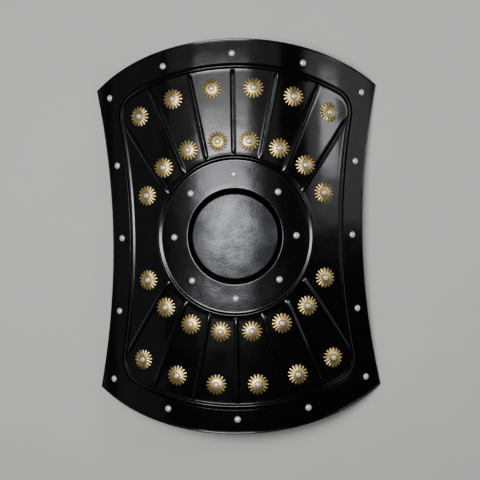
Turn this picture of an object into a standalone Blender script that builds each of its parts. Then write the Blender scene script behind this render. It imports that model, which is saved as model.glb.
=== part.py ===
"""Crusader hand shield: pressed black steel sheet bent round an upright axis, with raised beads, a riveted
border, a round boss plate, brass rosettes, and two leather loops behind.

The shield lies face up. X runs across it, Y up it and Z out of its face. Every sheet is drawn flat first, as
(across, along, height above the sheet's face), and is then bent round the cylinder of BEND_RADIUS.
"""

from math import asin, atan2, cos, pi, radians, sin, sqrt

import bmesh
import bpy
from mathutils import Matrix, Vector

# Outline, measured on the flat sheet
HEIGHT = 0.750
WAIST_WIDTH = 0.524
CORNER_WIDTH = 0.608
CORNER_HEIGHT = 0.594
BEND_RADIUS = 0.420

# Sheets and the gap between pieces that touch
SHEET = 0.0012
GAP = 0.0003

# Raised beads: a ring, a frame and ribs between them
BEAD_WIDTH = 0.011
BEAD_HEIGHT = 0.0024
RING_RADIUS = 0.150
FRAME_TOP_MARGIN = 0.0525
FRAME_SIDE_MARGIN = 0.0518
FRAME_TOP_RADIUS = 0.505
FRAME_SIDE_RADIUS = 1.100
FRAME_CORNER_RADIUS = 0.040
RIB_INNER_STEP = radians(19.4)
RIB_OUTER_STEP = radians(15.0)
RIBS_EACH_SIDE = 3

# Border band and its turned edge
BAND_TO_FRAME = 0.0065
RIM_WIDTH = 0.0045
RIM_CREST = 0.0009
RIM_RISE = 0.0010
TOP_TO_RIVETS = 0.0285
SIDE_TO_RIVETS = 0.0255
CORNER_RIVET_SHARE = 0.54
CORNER_RIVET_TURN = radians(0.7)
BETWEEN_SHARE = 0.515

# Boss plate
FLANGE_TO_BEAD = 0.0015
BOSS_RIVET_RADIUS = 0.1175
GROOVE_RADIUS = 0.0900
GROOVE_LIP = 0.0006
GROOVE_DEPTH = 0.0060
DOME_RADIUS = 0.0815
DOME_WALL = 0.0018
DOME_SHOULDER = 0.0030
DOME_CROWN = 0.0075
HOLE_CLEARANCE = 0.0030

# Rivets
RIVET_RADIUS = 0.0063
RIVET_HEIGHT = 0.0042
SHANK_RADIUS = 0.0020
SHANK_CLEARANCE = 0.0006
TAIL_RADIUS = 0.0040
TAIL_HEIGHT = 0.0016
TAIL_CLEARANCE = 0.0007
DRILL_DEPTH = 0.040
BOSS_RIVETS = 8

# Rosettes
ROSETTE_RADIUS = 0.0205
ROSETTE_VALLEY = 0.0140
ROSETTE_HEIGHT = 0.0030
ROSETTE_COLLAR = 0.0066
PIN_RADIUS = 0.0060
PIN_HEIGHT = 0.0036
PETALS = 16
INNER_ROW_MARGIN = 0.0325
INNER_ROW_STEP = 0.0050
OUTER_ROW_MARGIN = 0.0400
OUTER_ROW_STEP = 0.0020
SIDE_ROSETTE_SHARE = 0.497

# Leather loops behind the shield
STRAP_WIDTH = 0.028
STRAP_THICKNESS = 0.0030
STRAP_SAG = 0.060
STRAP_BOW = 1.5
STRAP_TAB = 0.012

# Facets
RIB_COLUMNS = 2
CORNER_COLUMNS = ((-0.12, -0.25), (0.0, 0.0), (0.14, 0.20), (0.34, 0.42), (0.66, 0.71), (1.0, 1.0))
BOSS_COLUMNS = 32
ROUND_SIDES = 6
HOLE_SIDES = 5
PIN_SIDES = 5
STRAP_STEPS = 9
ROUND_ROW = radians(45)
HALVINGS = 30
SPLIT_STRETCH = 1.001
MERGE = 0.00001

STEEL = ("blackened_steel", (0.012, 0.012, 0.013), 0.22, 0.6)
BOSS_STEEL = ("boss_steel", (0.030, 0.030, 0.032), 0.35, 0.7)
SILVER = ("silver", (0.82, 0.80, 0.77), 0.25, 1.0)
BRASS = ("brass", (0.66, 0.48, 0.20), 0.30, 1.0)
LEATHER = ("leather", (0.045, 0.028, 0.018), 0.65, 0.0)


def arc_radius(half_chord, rise):
    return (half_chord * half_chord + rise * rise) / (2 * rise)


class Outline:
    """A four-sided outline, with bulging top and bottom, hollow sides and rounded corners."""

    def __init__(self, top, side, top_radius, side_radius, corner_radius):
        self.top_centre = Vector((0, top - top_radius))
        self.side_centre = Vector((side + side_radius, 0))
        self.top_radius = top_radius
        self.side_radius = side_radius
        self.corner_radius = corner_radius
        self.corner_centre = self.meeting(top_radius - corner_radius, side_radius + corner_radius)
        up = (self.corner_centre - self.top_centre).normalized()
        out = (self.side_centre - self.corner_centre).normalized()
        self.top_end = self.corner_centre + up * corner_radius
        self.side_end = self.corner_centre + out * corner_radius

    def meeting(self, top_radius, side_radius):
        """The point at these distances from the centres of the top arc and the side arc."""
        line = self.side_centre - self.top_centre
        span = line.length
        along = (span * span + top_radius**2 - side_radius**2) / (2 * span)
        away = sqrt(top_radius**2 - along**2)
        line.normalize()
        return self.top_centre + line * along + Vector((-line.y, line.x)) * away

    def offset(self, distance):
        """The outline that runs parallel to this one, further out by this distance."""
        top = self.top_centre.y + self.top_radius + distance
        side = self.side_centre.x - self.side_radius + distance
        return Outline(
            top,
            side,
            self.top_radius + distance,
            self.side_radius - distance,
            self.corner_radius + distance,
        )

    def corner_angle(self):
        """Angle from straight up to the corner's middle."""
        tip = self.meeting(self.top_radius, self.side_radius)
        return atan2(tip.x, tip.y)

    def reach(self, angle):
        """Distance from the shield's middle to the outline, at an angle from straight up."""
        folded = asin(min(1.0, abs(sin(angle))))
        ray = Vector((sin(folded), cos(folded)))
        if folded < atan2(self.top_end.x, self.top_end.y):
            return far_hit(ray, self.top_centre, self.top_radius)
        if folded > atan2(self.side_end.x, self.side_end.y):
            return near_hit(ray, self.side_centre, self.side_radius)
        return far_hit(ray, self.corner_centre, self.corner_radius)

    def point(self, angle):
        reach = self.reach(angle)
        return Vector((reach * sin(angle), reach * cos(angle)))

    def crossing(self, inside, outside):
        """Where a straight line from a point inside to one outside meets the outline."""
        for _ in range(HALVINGS):
            middle = (inside + outside) / 2
            if middle.xy.length < self.reach(atan2(middle.x, middle.y)):
                inside = middle
            else:
                outside = middle
        return inside


def far_hit(ray, centre, radius):
    along = ray.dot(centre)
    return along + sqrt(max(0.0, along**2 - centre.length_squared + radius**2))


def near_hit(ray, centre, radius):
    along = ray.dot(centre)
    return along - sqrt(max(0.0, along**2 - centre.length_squared + radius**2))


def bent(point):
    """Takes a point of the flat drawing to its place on the bent shield."""
    across, along, height = point
    turn = across / BEND_RADIUS
    reach = BEND_RADIUS + height
    return Vector((reach * sin(turn), along, reach * cos(turn)))


def seat(across, along, height):
    """Placement of a small piece that stands square on the bent sheet."""
    turn = Matrix.Rotation(across / BEND_RADIUS, 4, "Y")
    return Matrix.Translation(bent((across, along, height))) @ turn


def edge_outline(inset):
    """The shield's outer edge, moved in by this distance, with sharp corners."""
    half_width = CORNER_WIDTH / 2
    half_height = CORNER_HEIGHT / 2
    top_radius = arc_radius(half_width, HEIGHT / 2 - half_height)
    side_radius = arc_radius(half_height, half_width - WAIST_WIDTH / 2)
    return Outline(HEIGHT / 2 - inset, WAIST_WIDTH / 2 - inset, top_radius - inset, side_radius + inset, 0.0)


FRAME = Outline(
    HEIGHT / 2 - FRAME_TOP_MARGIN,
    WAIST_WIDTH / 2 - FRAME_SIDE_MARGIN,
    FRAME_TOP_RADIUS,
    FRAME_SIDE_RADIUS,
    FRAME_CORNER_RADIUS,
)
BAND_INSIDE = FRAME.offset(BAND_TO_FRAME)
FACE = SHEET + GAP


def quarter_columns():
    """Places of the mesh columns from the top rib (0) past the last rib to the side's middle.

    Each is given twice, in rib steps: on the frame, where columns crowd at the corner to round it, and on
    the ring, where they spread so that the beads have room.
    """
    even = [(n / RIB_COLUMNS, n / RIB_COLUMNS) for n in range(RIB_COLUMNS * RIBS_EACH_SIDE)]
    corner = [(RIBS_EACH_SIDE + frame, RIBS_EACH_SIDE + ring) for frame, ring in CORNER_COLUMNS]
    return even + corner


def all_columns():
    """Every column round the shield, clockwise from the top rib, with the quarter that it is in."""
    quarter = quarter_columns()
    right_top = [(*places, 0) for places in quarter]
    right_bottom = [(*places, 1) for places in reversed(quarter[:-1])]
    left_bottom = [(*places, 2) for places in quarter[1:]]
    left_top = [(*places, 3) for places in reversed(quarter[1:-1])]
    return right_top + right_bottom + left_bottom + left_top


def column_angle(place, quarter, last):
    """Angle of a column from straight up, where the last rib is at an angle of its own."""
    if place <= RIBS_EACH_SIDE:
        angle = last * place / RIBS_EACH_SIDE
    else:
        angle = last + (pi / 2 - last) * (place - RIBS_EACH_SIDE)
    return (angle, pi - angle, pi + angle, -angle)[quarter]


COLUMNS = all_columns()
RING_ANGLES = [column_angle(ring, quarter, RIB_INNER_STEP * RIBS_EACH_SIDE) for _, ring, quarter in COLUMNS]
FRAME_ANGLES = [column_angle(frame, quarter, RIB_OUTER_STEP * RIBS_EACH_SIDE) for frame, _, quarter in COLUMNS]


def edge_row(inset, height):
    """A row along the shield's edge, whose last rib's column meets the corner."""
    outline = edge_outline(inset)
    corner = outline.corner_angle()
    angles = [column_angle(frame, quarter, corner) for frame, _, quarter in COLUMNS]
    return outline_row(outline, height, angles)


def circle_row(radius, height, angles):
    return [Vector((radius * sin(a), radius * cos(a), height)) for a in angles]


def outline_row(outline, height, angles):
    return [outline.point(a).to_3d() + Vector((0, 0, height)) for a in angles]


def middle_row(first, second):
    return [(a + b) / 2 for a, b in zip(first, second)]


def add_loop(bm, row):
    verts = [bm.verts.new(point) for point in row]
    edges = [bm.edges.new((verts[n - 1], verts[n])) for n in range(len(verts))]
    return verts, edges


def grow(bm, verts, edges, row):
    """Extrudes a loop, moves its copy to the points of the next row, and returns the copy."""
    grown = bmesh.ops.extrude_edge_only(bm, edges=edges)["geom"]
    new_verts = {item for item in grown if isinstance(item, bmesh.types.BMVert)}
    copies = []
    for vert, point in zip(verts, row):
        copy = next(edge.other_vert(vert) for edge in vert.link_edges if edge.other_vert(vert) in new_verts)
        copy.co = point
        copies.append(copy)
    outer = [edge for edge in grown if isinstance(edge, bmesh.types.BMEdge) and new_verts >= set(edge.verts)]
    return copies, outer


def skin(bm, rows):
    """Grows a sheet from row to row, and returns the rows' vertices."""
    verts, edges = add_loop(bm, rows[0])
    grown = [verts]
    for row in rows[1:]:
        verts, edges = grow(bm, verts, edges, row)
        grown.append(verts)
    return grown


def face_up(bm):
    bmesh.ops.recalc_face_normals(bm, faces=bm.faces[:])
    if sum(face.normal.z * face.calc_area() for face in bm.faces) < 0:
        bmesh.ops.reverse_faces(bm, faces=bm.faces[:])


def spot(vert):
    """A vertex's place on the flat sheet, to the nearest micrometre."""
    return round(vert.co.x, 6), round(vert.co.y, 6)


def bend(bm):
    """Bends a flat drawing into place, with flat facets, so that a hole cut later leaves them as they are.

    It is drawn a little wider while its quads are split, so that of two equal diagonals the one that runs
    more along the bend is taken.
    """
    bmesh.ops.scale(bm, vec=(SPLIT_STRETCH, 1, 1), verts=bm.verts[:])
    bmesh.ops.triangulate(bm, faces=bm.faces[:], quad_method="SHORT_EDGE")
    bmesh.ops.scale(bm, vec=(1 / SPLIT_STRETCH, 1, 1), verts=bm.verts[:])
    for vert in bm.verts:
        vert.co = bent(vert.co)


def make_mesh(bm, name, finish):
    mesh = bpy.data.meshes.new(name)
    bm.to_mesh(mesh)
    bm.free()
    mesh.materials.append(material(finish))
    return mesh


def material(finish):
    name, colour, roughness, metallic = finish
    made = bpy.data.materials.get(name)
    if made is None:
        made = bpy.data.materials.new(name)
        made.use_nodes = True
        shader = made.node_tree.nodes["Principled BSDF"]
        shader.inputs["Base Color"].default_value = (*colour, 1.0)
        shader.inputs["Roughness"].default_value = roughness
        shader.inputs["Metallic"].default_value = metallic
        made.diffuse_color = (*colour, 1.0)
    return made


def place(name, mesh, collection, matrix=None):
    thing = bpy.data.objects.new(name, mesh)
    collection.objects.link(thing)
    if matrix is not None:
        thing.matrix_world = matrix
    return thing


def thicken(thing, thickness):
    shell = thing.modifiers.new("thickness", "SOLIDIFY")
    shell.thickness = thickness
    shell.offset = -1.0
    shell.use_even_offset = True


def drill(thing, cutter):
    cut = thing.modifiers.new("rivet holes", "BOOLEAN")
    cut.object = cutter
    cut.operation = "DIFFERENCE"


def make_body(collection, edge_inset):
    """The main sheet, with a hole behind the boss. The beads are its only raised lines."""
    bm = bmesh.new()
    hole = circle_row(GROOVE_RADIUS + SHEET + HOLE_CLEARANCE, 0, RING_ANGLES)
    seat_row = circle_row(BOSS_RIVET_RADIUS, 0, RING_ANGLES)
    ring = circle_row(RING_RADIUS, 0, RING_ANGLES)
    frame = outline_row(FRAME, 0, FRAME_ANGLES)
    edge = edge_row(edge_inset, 0)
    rows = skin(bm, [hole, seat_row, ring, middle_row(ring, frame), frame, middle_row(frame, edge), edge])
    face_up(bm)

    column_of = {vert: n for row in rows for n, vert in enumerate(row)}
    row_of = {vert: n for n, row in enumerate(rows) for vert in row}
    ribs = [n for n, (frame_place, _, _) in enumerate(COLUMNS) if frame_place in range(RIBS_EACH_SIDE + 1)]
    crest = {spot(vert) for vert in [*rows[2], *rows[4], *[rows[3][n] for n in ribs]]}

    fields = {}
    for face in bm.faces:
        strip = min(row_of[vert] for vert in face.verts)
        columns = sorted(column_of[vert] for vert in face.verts)
        first = columns[-1] if columns[-1] - columns[0] > 1 else columns[0]
        sector = max((rib for rib in ribs if rib <= first), default=ribs[-1])
        key = "inside" if strip < 2 else "outside" if strip > 3 else sector
        fields.setdefault(key, []).append(face)
    for faces in fields.values():
        bmesh.ops.inset_region(
            bm,
            faces=faces,
            thickness=BEAD_WIDTH / 2,
            depth=0.0,
            use_boundary=False,
            use_even_offset=True,
        )
    for vert in bm.verts:
        vert.co.z = BEAD_HEIGHT if spot(vert) in crest else 0.0
    bend(bm)
    body = place("body", make_mesh(bm, "body", STEEL), collection)
    thicken(body, SHEET)
    return body


def make_border(collection):
    """The band over the sheet's edge zone, rolled up at its rim and turned down past the sheet's edge."""
    bm = bmesh.new()
    frame = outline_row(FRAME, FACE, FRAME_ANGLES)
    lip = edge_row(0, -FACE)
    inner = [BAND_INSIDE.crossing(*pair) for pair in zip(frame, lip)]
    for point in inner:
        point.z = FACE
    middle = middle_row(frame, edge_row(0, FACE))
    foot = edge_row(RIM_WIDTH, FACE)
    crest = edge_row(RIM_CREST, FACE + RIM_RISE)
    skin(bm, [inner, middle, foot, crest, lip])
    face_up(bm)
    bend(bm)
    border = place("border", make_mesh(bm, "border", STEEL), collection)
    thicken(border, SHEET)
    return border


def make_boss(collection):
    """The boss plate: a flange with rivets, a deep groove and a low crowned dome, pressed in one."""
    angles = [2 * pi * n / BOSS_COLUMNS for n in range(BOSS_COLUMNS)]
    groove_floor = FACE - GROOVE_DEPTH
    half = DOME_RADIUS / 2
    profile = [
        (RING_RADIUS - BEAD_WIDTH / 2 - FLANGE_TO_BEAD, FACE),
        (BOSS_RIVET_RADIUS, FACE),
        (GROOVE_RADIUS + SHEET, FACE + GROOVE_LIP),
        (GROOVE_RADIUS - SHEET, groove_floor),
        (DOME_RADIUS + SHEET, groove_floor),
        (DOME_RADIUS, FACE + DOME_WALL),
        (DOME_RADIUS - 2 * SHEET, FACE + DOME_SHOULDER),
        (half, FACE + DOME_CROWN - (DOME_CROWN - DOME_SHOULDER) * (half / DOME_RADIUS) ** 2),
    ]
    bm = bmesh.new()
    rows = skin(bm, [circle_row(radius, height, angles) for radius, height in profile])
    cap = bmesh.ops.contextual_create(bm, geom=rows[-1])
    crown = bmesh.ops.poke(bm, faces=cap["faces"])
    crown["verts"][0].co = Vector((0, 0, FACE + DOME_CROWN))
    face_up(bm)
    bend(bm)
    boss = place("boss", make_mesh(bm, "boss", BOSS_STEEL), collection)
    thicken(boss, SHEET)
    return boss


def turned_mesh(name, profile, finish):
    """A solid turned round Z from a profile of (radius, height) that starts and ends on the axis."""
    bm = bmesh.new()
    verts = [bm.verts.new((radius, 0, height)) for radius, height in profile]
    edges = [bm.edges.new(pair) for pair in zip(verts, verts[1:])]
    bmesh.ops.spin(
        bm,
        geom=verts + edges,
        axis=(0, 0, 1),
        cent=(0, 0, 0),
        angle=2 * pi,
        steps=ROUND_SIDES,
        use_merge=True,
    )
    bmesh.ops.remove_doubles(bm, verts=bm.verts[:], dist=MERGE)
    bmesh.ops.recalc_face_normals(bm, faces=bm.faces[:])
    return make_mesh(bm, name, finish)


def rivet_mesh(name, grip):
    """A dome-headed rivet whose shank passes through a grip of this depth to a peened tail."""
    profile = [
        (0, RIVET_HEIGHT),
        (RIVET_RADIUS * cos(ROUND_ROW), RIVET_HEIGHT * sin(ROUND_ROW)),
        (RIVET_RADIUS, 0),
        (SHANK_RADIUS, 0),
        (SHANK_RADIUS, -grip),
        (TAIL_RADIUS, -grip),
        (0, -grip - TAIL_HEIGHT),
    ]
    return turned_mesh(name, profile, SILVER)


def hole_cutter(name, places, collection):
    """One cutter of round pins, a clearance wider than the rivets' shanks."""
    bm = bmesh.new()
    for across, along in places:
        bmesh.ops.create_cone(
            bm,
            cap_ends=True,
            segments=HOLE_SIDES,
            radius1=SHANK_RADIUS + SHANK_CLEARANCE,
            radius2=SHANK_RADIUS + SHANK_CLEARANCE,
            depth=DRILL_DEPTH,
            matrix=seat(across, along, 0),
        )
    mesh = bpy.data.meshes.new(name)
    bm.to_mesh(mesh)
    bm.free()
    cutter = place(name, mesh, collection)
    cutter.hide_render = True
    cutter.display_type = "WIRE"
    return cutter


def rosette_mesh():
    """A brass sunflower, domed to its middle, with the round head of its own small rivet."""
    bm = bmesh.new()
    tips = []
    for n in range(2 * PETALS):
        radius = ROSETTE_RADIUS if n % 2 == 0 else ROSETTE_VALLEY
        angle = pi * n / PETALS
        tips.append(Vector((radius * sin(angle), radius * cos(angle), 0)))
    _, rim = add_loop(bm, tips)
    base = bmesh.ops.contextual_create(bm, geom=rim)["faces"][0]
    angles = [2 * pi * n / PIN_SIDES for n in range(PIN_SIDES)]
    _, collar_edges = add_loop(bm, circle_row(ROSETTE_COLLAR, ROSETTE_HEIGHT, angles))
    bmesh.ops.bridge_loops(bm, edges=rim + collar_edges)
    shoulder = ROSETTE_HEIGHT + PIN_HEIGHT * sin(ROUND_ROW)
    _, head_edges = add_loop(bm, circle_row(PIN_RADIUS * cos(ROUND_ROW), shoulder, angles))
    bmesh.ops.bridge_loops(bm, edges=collar_edges + head_edges)
    cap = bmesh.ops.contextual_create(bm, geom=head_edges)
    crown = bmesh.ops.poke(bm, faces=cap["faces"])
    crown["verts"][0].co.z = ROSETTE_HEIGHT + PIN_HEIGHT
    bmesh.ops.triangulate(bm, faces=[base])
    bmesh.ops.recalc_face_normals(bm, faces=bm.faces[:])
    return make_mesh(bm, "rosette", BRASS)


def make_strap(name, side, collection):
    """A leather loop that runs up the back from one boss rivet to another and sags between them."""
    across = side * BOSS_RIVET_RADIUS * sin(pi / 4)
    fixed = BOSS_RIVET_RADIUS * cos(pi / 4)
    free = fixed - STRAP_TAB
    back = -SHEET - GAP
    path = [(fixed + STRAP_TAB, back)]
    for n in range(STRAP_STEPS + 1):
        turn = pi * n / STRAP_STEPS
        path.append((free * cos(turn), back - STRAP_SAG * abs(sin(turn)) ** STRAP_BOW))
    path.append((-fixed - STRAP_TAB, back))
    bm = bmesh.new()
    left, right = across - STRAP_WIDTH / 2, across + STRAP_WIDTH / 2
    verts = [bm.verts.new((left, along, height)) for along, height in path]
    edges = [bm.edges.new(pair) for pair in zip(verts, verts[1:])]
    grown = bmesh.ops.extrude_edge_only(bm, edges=edges)
    moved = [item for item in grown["geom"] if isinstance(item, bmesh.types.BMVert)]
    bmesh.ops.translate(bm, verts=moved, vec=(right - left, 0, 0))
    face_up(bm)
    bend(bm)
    strap = place(name, make_mesh(bm, name, LEATHER), collection)
    thicken(strap, STRAP_THICKNESS)
    return strap


def border_rivet_places():
    """Sixteen places round the band: top, bottom, sides and corners, and one between each two."""
    row = Outline(
        HEIGHT / 2 - TOP_TO_RIVETS,
        WAIST_WIDTH / 2 - SIDE_TO_RIVETS,
        FRAME_TOP_RADIUS + FRAME_TOP_MARGIN - TOP_TO_RIVETS,
        FRAME_SIDE_RADIUS - FRAME_SIDE_MARGIN + SIDE_TO_RIVETS,
        FRAME_CORNER_RADIUS,
    )
    diagonal = FRAME.corner_angle() + CORNER_RIVET_TURN
    inner = FRAME.point(diagonal)
    corner = inner + (edge_outline(0).point(diagonal) - inner) * CORNER_RIVET_SHARE
    across = corner.x * BETWEEN_SHARE
    along = corner.y * BETWEEN_SHARE
    above = (across, row.top_centre.y + sqrt(row.top_radius**2 - across**2))
    beside = (row.side_centre.x - sqrt(row.side_radius**2 - along**2), along)
    places = [(0, row.reach(0)), (0, -row.reach(0)), (row.reach(pi / 2), 0), (-row.reach(pi / 2), 0)]
    for point in (above, corner, beside):
        places += [(x * point[0], y * point[1]) for x in (-1, 1) for y in (-1, 1)]
    return sorted(places)


def boss_rivet_places():
    angles = [2 * pi * n / BOSS_RIVETS for n in range(BOSS_RIVETS)]
    return [(BOSS_RIVET_RADIUS * sin(a), BOSS_RIVET_RADIUS * cos(a)) for a in angles]


def field_angle(field, reach):
    """Angle of a field's middle line, which turns a little on its way out since the ribs close up."""
    share = (reach - RING_RADIUS) / (FRAME.reach(0) - RING_RADIUS)
    return (field + 0.5) * (RIB_INNER_STEP + (RIB_OUTER_STEP - RIB_INNER_STEP) * share)


def rosette_places():
    """Two rosettes on the middle line of each field between ribs, and one more beyond the last rib."""
    places = []
    for field in range(RIBS_EACH_SIDE):
        inner = RING_RADIUS + INNER_ROW_MARGIN + INNER_ROW_STEP * field
        angle = field_angle(field, inner)
        places.append((inner * sin(angle), inner * cos(angle)))
        row_radius = FRAME.top_radius - OUTER_ROW_MARGIN - OUTER_ROW_STEP * field
        angle = (field + 0.5) * RIB_OUTER_STEP
        outer = far_hit(Vector((sin(angle), cos(angle))), FRAME.top_centre, row_radius)
        angle = field_angle(field, outer)
        places.append((outer * sin(angle), outer * cos(angle)))
    angle = field_angle(RIBS_EACH_SIDE, RING_RADIUS + INNER_ROW_MARGIN)
    beside = RING_RADIUS + (FRAME.reach(angle) - RING_RADIUS) * SIDE_ROSETTE_SHARE
    places.append((beside * sin(angle), beside * cos(angle)))
    return [(x * across, y * along) for across, along in places for x in (-1, 1) for y in (-1, 1)]


def main():
    for thing in list(bpy.data.objects):
        bpy.data.objects.remove(thing)
    parts = bpy.data.collections.new("crusader_shield")
    cutters = bpy.data.collections.new("cutters")
    for collection in (parts, cutters):
        bpy.context.scene.collection.children.link(collection)

    border_places = border_rivet_places()
    boss_places = boss_rivet_places()
    border_holes = hole_cutter("border_rivet_holes", border_places, cutters)
    boss_holes = hole_cutter("boss_rivet_holes", boss_places, cutters)

    body = make_body(parts, SHEET + 2 * GAP)
    border = make_border(parts)
    boss = make_boss(parts)
    straps = [make_strap("arm_strap", -1, parts), make_strap("hand_grip", 1, parts)]
    drill(body, border_holes)
    drill(border, border_holes)
    for piece in (body, boss, *straps):
        drill(piece, boss_holes)

    head_seat = FACE + GAP
    behind = head_seat + SHEET + TAIL_CLEARANCE
    short = rivet_mesh("short_rivet", behind)
    long = rivet_mesh("long_rivet", behind + STRAP_THICKNESS)
    for n, (across, along) in enumerate(border_places):
        place(f"border_rivet_{n + 1:02d}", short, parts, seat(across, along, head_seat))
    for n, (across, along) in enumerate(boss_places):
        mesh = long if n % 2 else short
        place(f"boss_rivet_{n + 1:02d}", mesh, parts, seat(across, along, head_seat))
    rosette = rosette_mesh()
    for n, (across, along) in enumerate(rosette_places()):
        place(f"rosette_{n + 1:02d}", rosette, parts, seat(across, along, GAP))

    # The lowest points of the border, its four corners, stand on the ground.
    bpy.context.view_layer.update()
    evaluated = border.evaluated_get(bpy.context.evaluated_depsgraph_get())
    lowest = min(vert.co.z for vert in evaluated.data.vertices)
    stand = bpy.data.objects.new("stand", None)
    parts.objects.link(stand)
    stand.location.z = -lowest
    for thing in [*parts.objects, *cutters.objects]:
        if thing is not stand:
            thing.parent = stand


main()
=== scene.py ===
from math import asin, atan2, cos, pi, radians, sin, sqrt

import bmesh
import bpy
from mathutils import Matrix, Vector


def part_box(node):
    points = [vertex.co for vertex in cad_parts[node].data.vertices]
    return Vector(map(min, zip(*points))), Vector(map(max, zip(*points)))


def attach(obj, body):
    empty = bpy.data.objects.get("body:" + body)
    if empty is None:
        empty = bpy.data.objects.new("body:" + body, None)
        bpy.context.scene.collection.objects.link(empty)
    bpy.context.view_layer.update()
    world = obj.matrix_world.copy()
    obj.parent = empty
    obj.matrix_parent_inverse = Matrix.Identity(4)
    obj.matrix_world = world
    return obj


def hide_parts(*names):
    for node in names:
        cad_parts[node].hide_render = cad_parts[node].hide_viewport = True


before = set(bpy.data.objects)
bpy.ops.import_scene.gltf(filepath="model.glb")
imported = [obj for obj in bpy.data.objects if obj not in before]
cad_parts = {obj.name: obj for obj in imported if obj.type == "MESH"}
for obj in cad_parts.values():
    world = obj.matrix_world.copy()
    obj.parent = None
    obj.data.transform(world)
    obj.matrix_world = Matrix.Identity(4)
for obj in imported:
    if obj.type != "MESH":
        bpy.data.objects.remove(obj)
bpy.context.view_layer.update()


# The main sheet: 1.2 mm mild steel, pressed from behind with a frame, a ring and fourteen ribs between the
# two, then bent round the shield's long axis. It is blackened and lacquered. Everything is drawn flat, as
# across, along and height above the sheet's face, and bent last.
HEIGHT = 0.750
WAIST_WIDTH = 0.524
CORNER_WIDTH = 0.608
CORNER_HEIGHT = 0.594
BEND_RADIUS = 0.420
SHEET = 0.0012
GAP = 0.0003
FACE = SHEET + GAP
BEAD_HEIGHT = 0.0021
BEAD_HALF = 0.0055
BEAD_CREST = 0.0012
BEAD_FOOT = 0.0010
BEAD_STEPS = (0.0005, 0.0010, 0.0015, 0.0024, 0.0034, 0.0043, 0.0049, BEAD_HALF)
BEAD_JOIN = 4
RING_RADIUS = 0.150
RIBS_BESIDE_MIDDLE = 3
RIB_INNER_STEP = radians(19.4)
RIB_OUTER_STEP = radians(15.0)
RIB_END = 0.0097
FRAME_FROM_TOP = 0.0525
FRAME_FROM_SIDE = 0.0518
FRAME_TOP_RADIUS = 0.505
FRAME_SIDE_RADIUS = 1.100
FRAME_CORNER_RADIUS = 0.040
HOLE_RADIUS = 0.0942
DOME_CROWN = 0.0075
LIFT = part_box("boss")[1][2] - (BEND_RADIUS + FACE + DOME_CROWN)
COLUMNS_PER_FIELD = 14
COLUMNS_TO_SIDE = 30
SIDE_CROWDING = 1.3
ROWS_INSIDE_RING = 5
ROWS_PER_FIELD = 24
ROWS_TO_EDGE = 6
HALVINGS = 22
WELD = 0.000005
LACQUER = (0.030, 0.030, 0.031, 1.0)
HAZED_LACQUER = (0.044, 0.044, 0.045, 1.0)
# The crests' paler lacquer colour is partly wear and partly a painted highlight.
WORN_AND_HIGHLIT_CREST = (0.085, 0.085, 0.086, 1.0)


class Outline:
    """A four-sided outline of arcs, with bulging top and bottom, hollow sides and rounded corners."""

    def __init__(self, top, side, top_radius, side_radius, corner_radius):
        self.top_centre = Vector((0, top - top_radius))
        self.side_centre = Vector((side + side_radius, 0))
        self.top_radius = top_radius
        self.side_radius = side_radius
        self.corner_radius = corner_radius
        self.corner_centre = self.meeting(top_radius - corner_radius, side_radius + corner_radius)
        up = (self.corner_centre - self.top_centre).normalized()
        out = (self.side_centre - self.corner_centre).normalized()
        self.top_end = self.corner_centre + up * corner_radius
        self.side_end = self.corner_centre + out * corner_radius

    def meeting(self, top_radius, side_radius):
        """Where two arcs round the top's and the side's centres cross."""
        line = self.side_centre - self.top_centre
        span = line.length
        along = (span * span + top_radius**2 - side_radius**2) / (2 * span)
        line.normalize()
        return self.top_centre + line * along + Vector((-line.y, line.x)) * sqrt(top_radius**2 - along**2)

    def offset(self, distance):
        return Outline(
            self.top_centre.y + self.top_radius + distance,
            self.side_centre.x - self.side_radius + distance,
            self.top_radius + distance,
            self.side_radius - distance,
            self.corner_radius + distance,
        )

    def corner_angle(self):
        tip = self.meeting(self.top_radius, self.side_radius)
        return atan2(tip.x, tip.y)

    def part(self, angle):
        """The arc that a ray at this angle meets: its centre, its radius, and -1 for the hollow side."""
        if angle < atan2(self.top_end.x, self.top_end.y):
            return self.top_centre, self.top_radius, 1
        if angle > atan2(self.side_end.x, self.side_end.y):
            return self.side_centre, self.side_radius, -1
        return self.corner_centre, self.corner_radius, 1

    def point(self, angle):
        """Where a ray from the shield's middle, at an angle from straight up, meets the outline."""
        folded = asin(min(1.0, abs(sin(angle))))
        ray = Vector((sin(folded), cos(folded)))
        centre, radius, side = self.part(folded)
        along = ray.dot(centre)
        reach = along + side * sqrt(max(0.0, along**2 - centre.length_squared + radius**2))
        return Vector((reach * sin(angle), reach * cos(angle)))

    def distance(self, place):
        """How far a place is from the outline. The inner side of a corner's circle doesn't count."""
        folded = Vector((abs(place.x), abs(place.y)))
        centre, radius, _ = self.part(atan2(folded.x, folded.y))
        if radius == self.corner_radius and folded.length < centre.length:
            return radius
        return abs((folded - centre).length - radius)


def edge_outline(inset):
    """The shield's outer edge, moved in by this distance, with sharp corners."""
    half_width = CORNER_WIDTH / 2
    half_height = CORNER_HEIGHT / 2
    rise = HEIGHT / 2 - half_height
    hollow = half_width - WAIST_WIDTH / 2
    top_radius = (half_width**2 + rise**2) / (2 * rise)
    side_radius = (half_height**2 + hollow**2) / (2 * hollow)
    top = HEIGHT / 2 - inset
    side = WAIST_WIDTH / 2 - inset
    return Outline(top, side, top_radius - inset, side_radius + inset, 0.0)


FRAME = Outline(
    HEIGHT / 2 - FRAME_FROM_TOP,
    WAIST_WIDTH / 2 - FRAME_FROM_SIDE,
    FRAME_TOP_RADIUS,
    FRAME_SIDE_RADIUS,
    FRAME_CORNER_RADIUS,
)


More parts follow.
